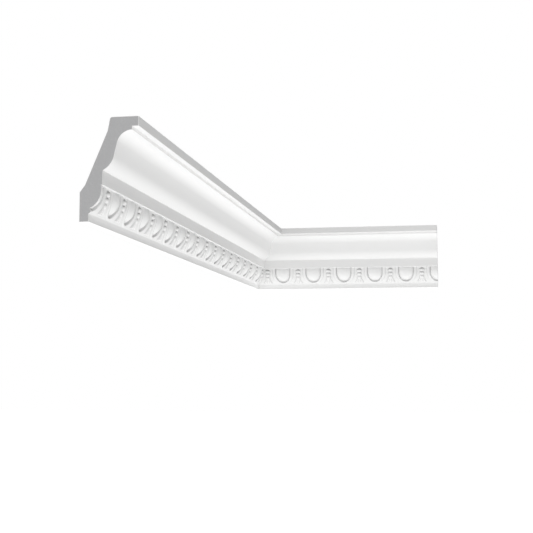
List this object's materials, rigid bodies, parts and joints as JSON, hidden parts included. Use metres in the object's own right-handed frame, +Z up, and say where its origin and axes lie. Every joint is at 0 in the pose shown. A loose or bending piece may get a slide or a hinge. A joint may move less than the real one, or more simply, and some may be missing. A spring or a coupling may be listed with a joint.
{
  "type": "mitred cornice moulding",
  "caption": "Egg-and-dart cornice for the line between wall and ceiling: two lengths of one section mitred at an inside corner, square at their outer ends.",
  "frame": {"origin": "the inside corner of the room at the cornice's lower edge, where both wall faces and the underside meet", "axes": "+X along the short length and away from the corner, -Y along the long length and away from the corner, +Z up to the ceiling"},
  "size_m": [0.382, 1.08, 0.12],
  "materials": {
    "moulding": "factory-primed matt white polymer foam, bare pale grey where it is sawn"
  },
  "bodies": {
    "root": {"long_length": "moulding", "short_length": "moulding"}
  },
  "joints": []
}
